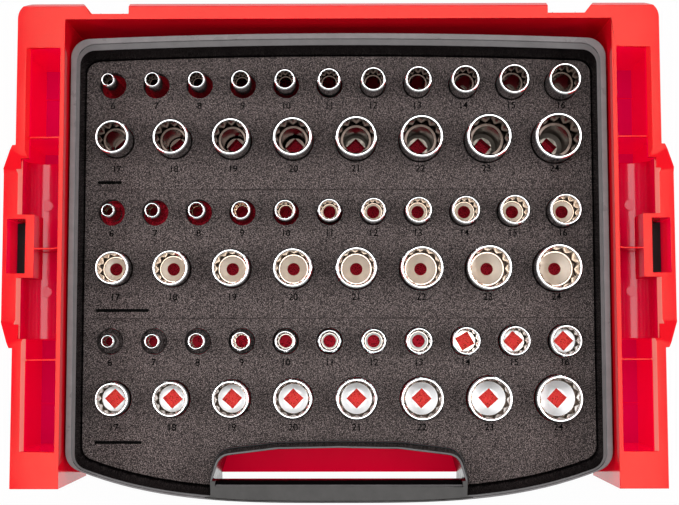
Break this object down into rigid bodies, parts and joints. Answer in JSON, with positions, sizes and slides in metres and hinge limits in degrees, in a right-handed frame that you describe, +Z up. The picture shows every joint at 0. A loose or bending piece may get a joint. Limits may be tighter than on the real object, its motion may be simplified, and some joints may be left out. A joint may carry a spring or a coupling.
{
  "type": "socket set in a carrier",
  "caption": "Open-topped stacking carrier with side latches and a pull-out tray, whose foam insert holds series of sockets upright with their nut ends up.",
  "frame": {"origin": "middle of the underside, on the surface that the feet stand on", "axes": "+Z up, -Y towards the open front and the tray's handle, +X to the right seen from the front"},
  "size_m": [0.444, 0.3316, 0.093],
  "materials": {
    "red_plastic": "satin",
    "latch_plastic": "satin",
    "pin_steel": "satin",
    "dark_plastic": "satin",
    "dark_foam": "matte",
    "red_foam": "matte",
    "chrome": "polished"
  },
  "bodies": {
    "carrier": {"carrier": "red_plastic", "latch_pins": "pin_steel"},
    "tray": {"tray": "dark_plastic", "foam_top": "dark_foam", "foam_base": "red_foam"},
    "latch_left": {"latch_left": "latch_plastic"},
    "latch_right": {"latch_right": "latch_plastic"},
    "socket_deep_06_07": {"socket_deep_06_07": "chrome"},
    "socket_deep_08_09": {"socket_deep_08_09": "chrome"},
    "socket_deep_10": {"socket_deep_10": "chrome"},
    "socket_deep_11": {"socket_deep_11": "chrome"},
    "socket_deep_12": {"socket_deep_12": "chrome"},
    "socket_deep_13": {"socket_deep_13": "chrome"},
    "socket_deep_14": {"socket_deep_14": "chrome"},
    "socket_deep_15": {"socket_deep_15": "chrome"},
    "socket_deep_16": {"socket_deep_16": "chrome"},
    "socket_deep_17": {"socket_deep_17": "chrome"},
    "socket_deep_18": {"socket_deep_18": "chrome"},
    "socket_deep_19": {"socket_deep_19": "chrome"},
    "socket_deep_20": {"socket_deep_20": "chrome"},
    "socket_deep_21": {"socket_deep_21": "chrome"},
    "socket_deep_22": {"socket_deep_22": "chrome"},
    "socket_deep_23": {"socket_deep_23": "chrome"},
    "socket_deep_24": {"socket_deep_24": "chrome"},
    "socket_semi_06_07": {"socket_semi_06_07": "chrome"},
    "socket_semi_08_09": {"socket_semi_08_09": "chrome"},
    "socket_semi_10": {"socket_semi_10": "chrome"},
    "socket_semi_11": {"socket_semi_11": "chrome"},
    "socket_semi_12": {"socket_semi_12": "chrome"},
    "socket_semi_13": {"socket_semi_13": "chrome"},
    "socket_semi_14": {"socket_semi_14": "chrome"},
    "socket_semi_15": {"socket_semi_15": "chrome"},
    "socket_semi_16": {"socket_semi_16": "chrome"},
    "socket_semi_17": {"socket_semi_17": "chrome"},
    "socket_semi_18": {"socket_semi_18": "chrome"},
    "socket_semi_19": {"socket_semi_19": "chrome"},
    "socket_semi_20": {"socket_semi_20": "chrome"},
    "socket_semi_21": {"socket_semi_21": "chrome"},
    "socket_semi_22": {"socket_semi_22": "chrome"},
    "socket_semi_23": {"socket_semi_23": "chrome"},
    "socket_semi_24": {"socket_semi_24": "chrome"},
    "socket_shallow_06_07": {"socket_shallow_06_07": "chrome"},
    "socket_shallow_08_09": {"socket_shallow_08_09": "chrome"},
    "socket_shallow_10": {"socket_shallow_10": "chrome"},
    "socket_shallow_11": {"socket_shallow_11": "chrome"},
    "socket_shallow_12": {"socket_shallow_12": "chrome"},
    "socket_shallow_13": {"socket_shallow_13": "chrome"},
    "socket_shallow_14": {"socket_shallow_14": "chrome"},
    "socket_shallow_15": {"socket_shallow_15": "chrome"},
    "socket_shallow_16": {"socket_shallow_16": "chrome"},
    "socket_shallow_17": {"socket_shallow_17": "chrome"},
    "socket_shallow_18": {"socket_shallow_18": "chrome"},
    "socket_shallow_19": {"socket_shallow_19": "chrome"},
    "socket_shallow_20": {"socket_shallow_20": "chrome"},
    "socket_shallow_21": {"socket_shallow_21": "chrome"},
    "socket_shallow_22": {"socket_shallow_22": "chrome"},
    "socket_shallow_23": {"socket_shallow_23": "chrome"},
    "socket_shallow_24": {"socket_shallow_24": "chrome"}
  },
  "joints": [
    {"name": "drawer_slide", "type": "slide", "parent": "carrier", "child": "tray", "axis": [0, -1, 0], "range_m": [0, 0.3]},
    {"name": "latch_left_press", "type": "hinge", "parent": "carrier", "child": "latch_left", "pos_m": [-0.2144, 0.0031, 0.035], "axis": [0, 1, 0], "range_deg": [0, 3], "stiffness_Nm_per_rad": 2.5, "springref_deg": -2.29},
    {"name": "latch_right_press", "type": "hinge", "parent": "carrier", "child": "latch_right", "pos_m": [0.2144, 0.0031, 0.035], "axis": [0, -1, 0], "range_deg": [0, 3], "stiffness_Nm_per_rad": 2.5, "springref_deg": -2.29},
    {"name": "lift_deep_06_07", "type": "slide", "parent": "tray", "child": "socket_deep_06_07", "axis": [0, 0, 1], "range_m": [0, 0.08]},
    {"name": "lift_deep_08_09", "type": "slide", "parent": "tray", "child": "socket_deep_08_09", "axis": [0, 0, 1], "range_m": [0, 0.08]},
    {"name": "lift_deep_10", "type": "slide", "parent": "tray", "child": "socket_deep_10", "axis": [0, 0, 1], "range_m": [0, 0.08]},
    {"name": "lift_deep_11", "type": "slide", "parent": "tray", "child": "socket_deep_11", "axis": [0, 0, 1], "range_m": [0, 0.08]},
    {"name": "lift_deep_12", "type": "slide", "parent": "tray", "child": "socket_deep_12", "axis": [0, 0, 1], "range_m": [0, 0.08]},
    {"name": "lift_deep_13", "type": "slide", "parent": "tray", "child": "socket_deep_13", "axis": [0, 0, 1], "range_m": [0, 0.08]},
    {"name": "lift_deep_14", "type": "slide", "parent": "tray", "child": "socket_deep_14", "axis": [0, 0, 1], "range_m": [0, 0.08]},
    {"name": "lift_deep_15", "type": "slide", "parent": "tray", "child": "socket_deep_15", "axis": [0, 0, 1], "range_m": [0, 0.08]},
    {"name": "lift_deep_16", "type": "slide", "parent": "tray", "child": "socket_deep_16", "axis": [0, 0, 1], "range_m": [0, 0.08]},
    {"name": "lift_deep_17", "type": "slide", "parent": "tray", "child": "socket_deep_17", "axis": [0, 0, 1], "range_m": [0, 0.08]},
    {"name": "lift_deep_18", "type": "slide", "parent": "tray", "child": "socket_deep_18", "axis": [0, 0, 1], "range_m": [0, 0.08]},
    {"name": "lift_deep_19", "type": "slide", "parent": "tray", "child": "socket_deep_19", "axis": [0, 0, 1], "range_m": [0, 0.08]},
    {"name": "lift_deep_20", "type": "slide", "parent": "tray", "child": "socket_deep_20", "axis": [0, 0, 1], "range_m": [0, 0.08]},
    {"name": "lift_deep_21", "type": "slide", "parent": "tray", "child": "socket_deep_21", "axis": [0, 0, 1], "range_m": [0, 0.08]},
    {"name": "lift_deep_22", "type": "slide", "parent": "tray", "child": "socket_deep_22", "axis": [0, 0, 1], "range_m": [0, 0.08]},
    {"name": "lift_deep_23", "type": "slide", "parent": "tray", "child": "socket_deep_23", "axis": [0, 0, 1], "range_m": [0, 0.08]},
    {"name": "lift_deep_24", "type": "slide", "parent": "tray", "child": "socket_deep_24", "axis": [0, 0, 1], "range_m": [0, 0.08]},
    {"name": "lift_semi_06_07", "type": "slide", "parent": "tray", "child": "socket_semi_06_07", "axis": [0, 0, 1], "range_m": [0, 0.067]},
    {"name": "lift_semi_08_09", "type": "slide", "parent": "tray", "child": "socket_semi_08_09", "axis": [0, 0, 1], "range_m": [0, 0.067]},
    {"name": "lift_semi_10", "type": "slide", "parent": "tray", "child": "socket_semi_10", "axis": [0, 0, 1], "range_m": [0, 0.067]},
    {"name": "lift_semi_11", "type": "slide", "parent": "tray", "child": "socket_semi_11", "axis": [0, 0, 1], "range_m": [0, 0.067]},
    {"name": "lift_semi_12", "type": "slide", "parent": "tray", "child": "socket_semi_12", "axis": [0, 0, 1], "range_m": [0, 0.067]},
    {"name": "lift_semi_13", "type": "slide", "parent": "tray", "child": "socket_semi_13", "axis": [0, 0, 1], "range_m": [0, 0.067]},
    {"name": "lift_semi_14", "type": "slide", "parent": "tray", "child": "socket_semi_14", "axis": [0, 0, 1], "range_m": [0, 0.067]},
    {"name": "lift_semi_15", "type": "slide", "parent": "tray", "child": "socket_semi_15", "axis": [0, 0, 1], "range_m": [0, 0.067]},
    {"name": "lift_semi_16", "type": "slide", "parent": "tray", "child": "socket_semi_16", "axis": [0, 0, 1], "range_m": [0, 0.067]},
    {"name": "lift_semi_17", "type": "slide", "parent": "tray", "child": "socket_semi_17", "axis": [0, 0, 1], "range_m": [0, 0.067]},
    {"name": "lift_semi_18", "type": "slide", "parent": "tray", "child": "socket_semi_18", "axis": [0, 0, 1], "range_m": [0, 0.067]},
    {"name": "lift_semi_19", "type": "slide", "parent": "tray", "child": "socket_semi_19", "axis": [0, 0, 1], "range_m": [0, 0.067]},
    {"name": "lift_semi_20", "type": "slide", "parent": "tray", "child": "socket_semi_20", "axis": [0, 0, 1], "range_m": [0, 0.067]},
    {"name": "lift_semi_21", "type": "slide", "parent": "tray", "child": "socket_semi_21", "axis": [0, 0, 1], "range_m": [0, 0.067]},
    {"name": "lift_semi_22", "type": "slide", "parent": "tray", "child": "socket_semi_22", "axis": [0, 0, 1], "range_m": [0, 0.067]},
    {"name": "lift_semi_23", "type": "slide", "parent": "tray", "child": "socket_semi_23", "axis": [0, 0, 1], "range_m": [0, 0.067]},
    {"name": "lift_semi_24", "type": "slide", "parent": "tray", "child": "socket_semi_24", "axis": [0, 0, 1], "range_m": [0, 0.067]},
    {"name": "lift_shallow_06_07", "type": "slide", "parent": "tray", "child": "socket_shallow_06_07", "axis": [0, 0, 1], "range_m": [0, 0.054]},
    {"name": "lift_shallow_08_09", "type": "slide", "parent": "tray", "child": "socket_shallow_08_09", "axis": [0, 0, 1], "range_m": [0, 0.054]},
    {"name": "lift_shallow_10", "type": "slide", "parent": "tray", "child": "socket_shallow_10", "axis": [0, 0, 1], "range_m": [0, 0.054]},
    {"name": "lift_shallow_11", "type": "slide", "parent": "tray", "child": "socket_shallow_11", "axis": [0, 0, 1], "range_m": [0, 0.054]},
    {"name": "lift_shallow_12", "type": "slide", "parent": "tray", "child": "socket_shallow_12", "axis": [0, 0, 1], "range_m": [0, 0.054]},
    {"name": "lift_shallow_13", "type": "slide", "parent": "tray", "child": "socket_shallow_13", "axis": [0, 0, 1], "range_m": [0, 0.054]},
    {"name": "lift_shallow_14", "type": "slide", "parent": "tray", "child": "socket_shallow_14", "axis": [0, 0, 1], "range_m": [0, 0.054]},
    {"name": "lift_shallow_15", "type": "slide", "parent": "tray", "child": "socket_shallow_15", "axis": [0, 0, 1], "range_m": [0, 0.054]},
    {"name": "lift_shallow_16", "type": "slide", "parent": "tray", "child": "socket_shallow_16", "axis": [0, 0, 1], "range_m": [0, 0.054]},
    {"name": "lift_shallow_17", "type": "slide", "parent": "tray", "child": "socket_shallow_17", "axis": [0, 0, 1], "range_m": [0, 0.054]},
    {"name": "lift_shallow_18", "type": "slide", "parent": "tray", "child": "socket_shallow_18", "axis": [0, 0, 1], "range_m": [0, 0.054]},
    {"name": "lift_shallow_19", "type": "slide", "parent": "tray", "child": "socket_shallow_19", "axis": [0, 0, 1], "range_m": [0, 0.054]},
    {"name": "lift_shallow_20", "type": "slide", "parent": "tray", "child": "socket_shallow_20", "axis": [0, 0, 1], "range_m": [0, 0.054]},
    {"name": "lift_shallow_21", "type": "slide", "parent": "tray", "child": "socket_shallow_21", "axis": [0, 0, 1], "range_m": [0, 0.054]},
    {"name": "lift_shallow_22", "type": "slide", "parent": "tray", "child": "socket_shallow_22", "axis": [0, 0, 1], "range_m": [0, 0.054]},
    {"name": "lift_shallow_23", "type": "slide", "parent": "tray", "child": "socket_shallow_23", "axis": [0, 0, 1], "range_m": [0, 0.054]},
    {"name": "lift_shallow_24", "type": "slide", "parent": "tray", "child": "socket_shallow_24", "axis": [0, 0, 1], "range_m": [0, 0.054]}
  ]
}
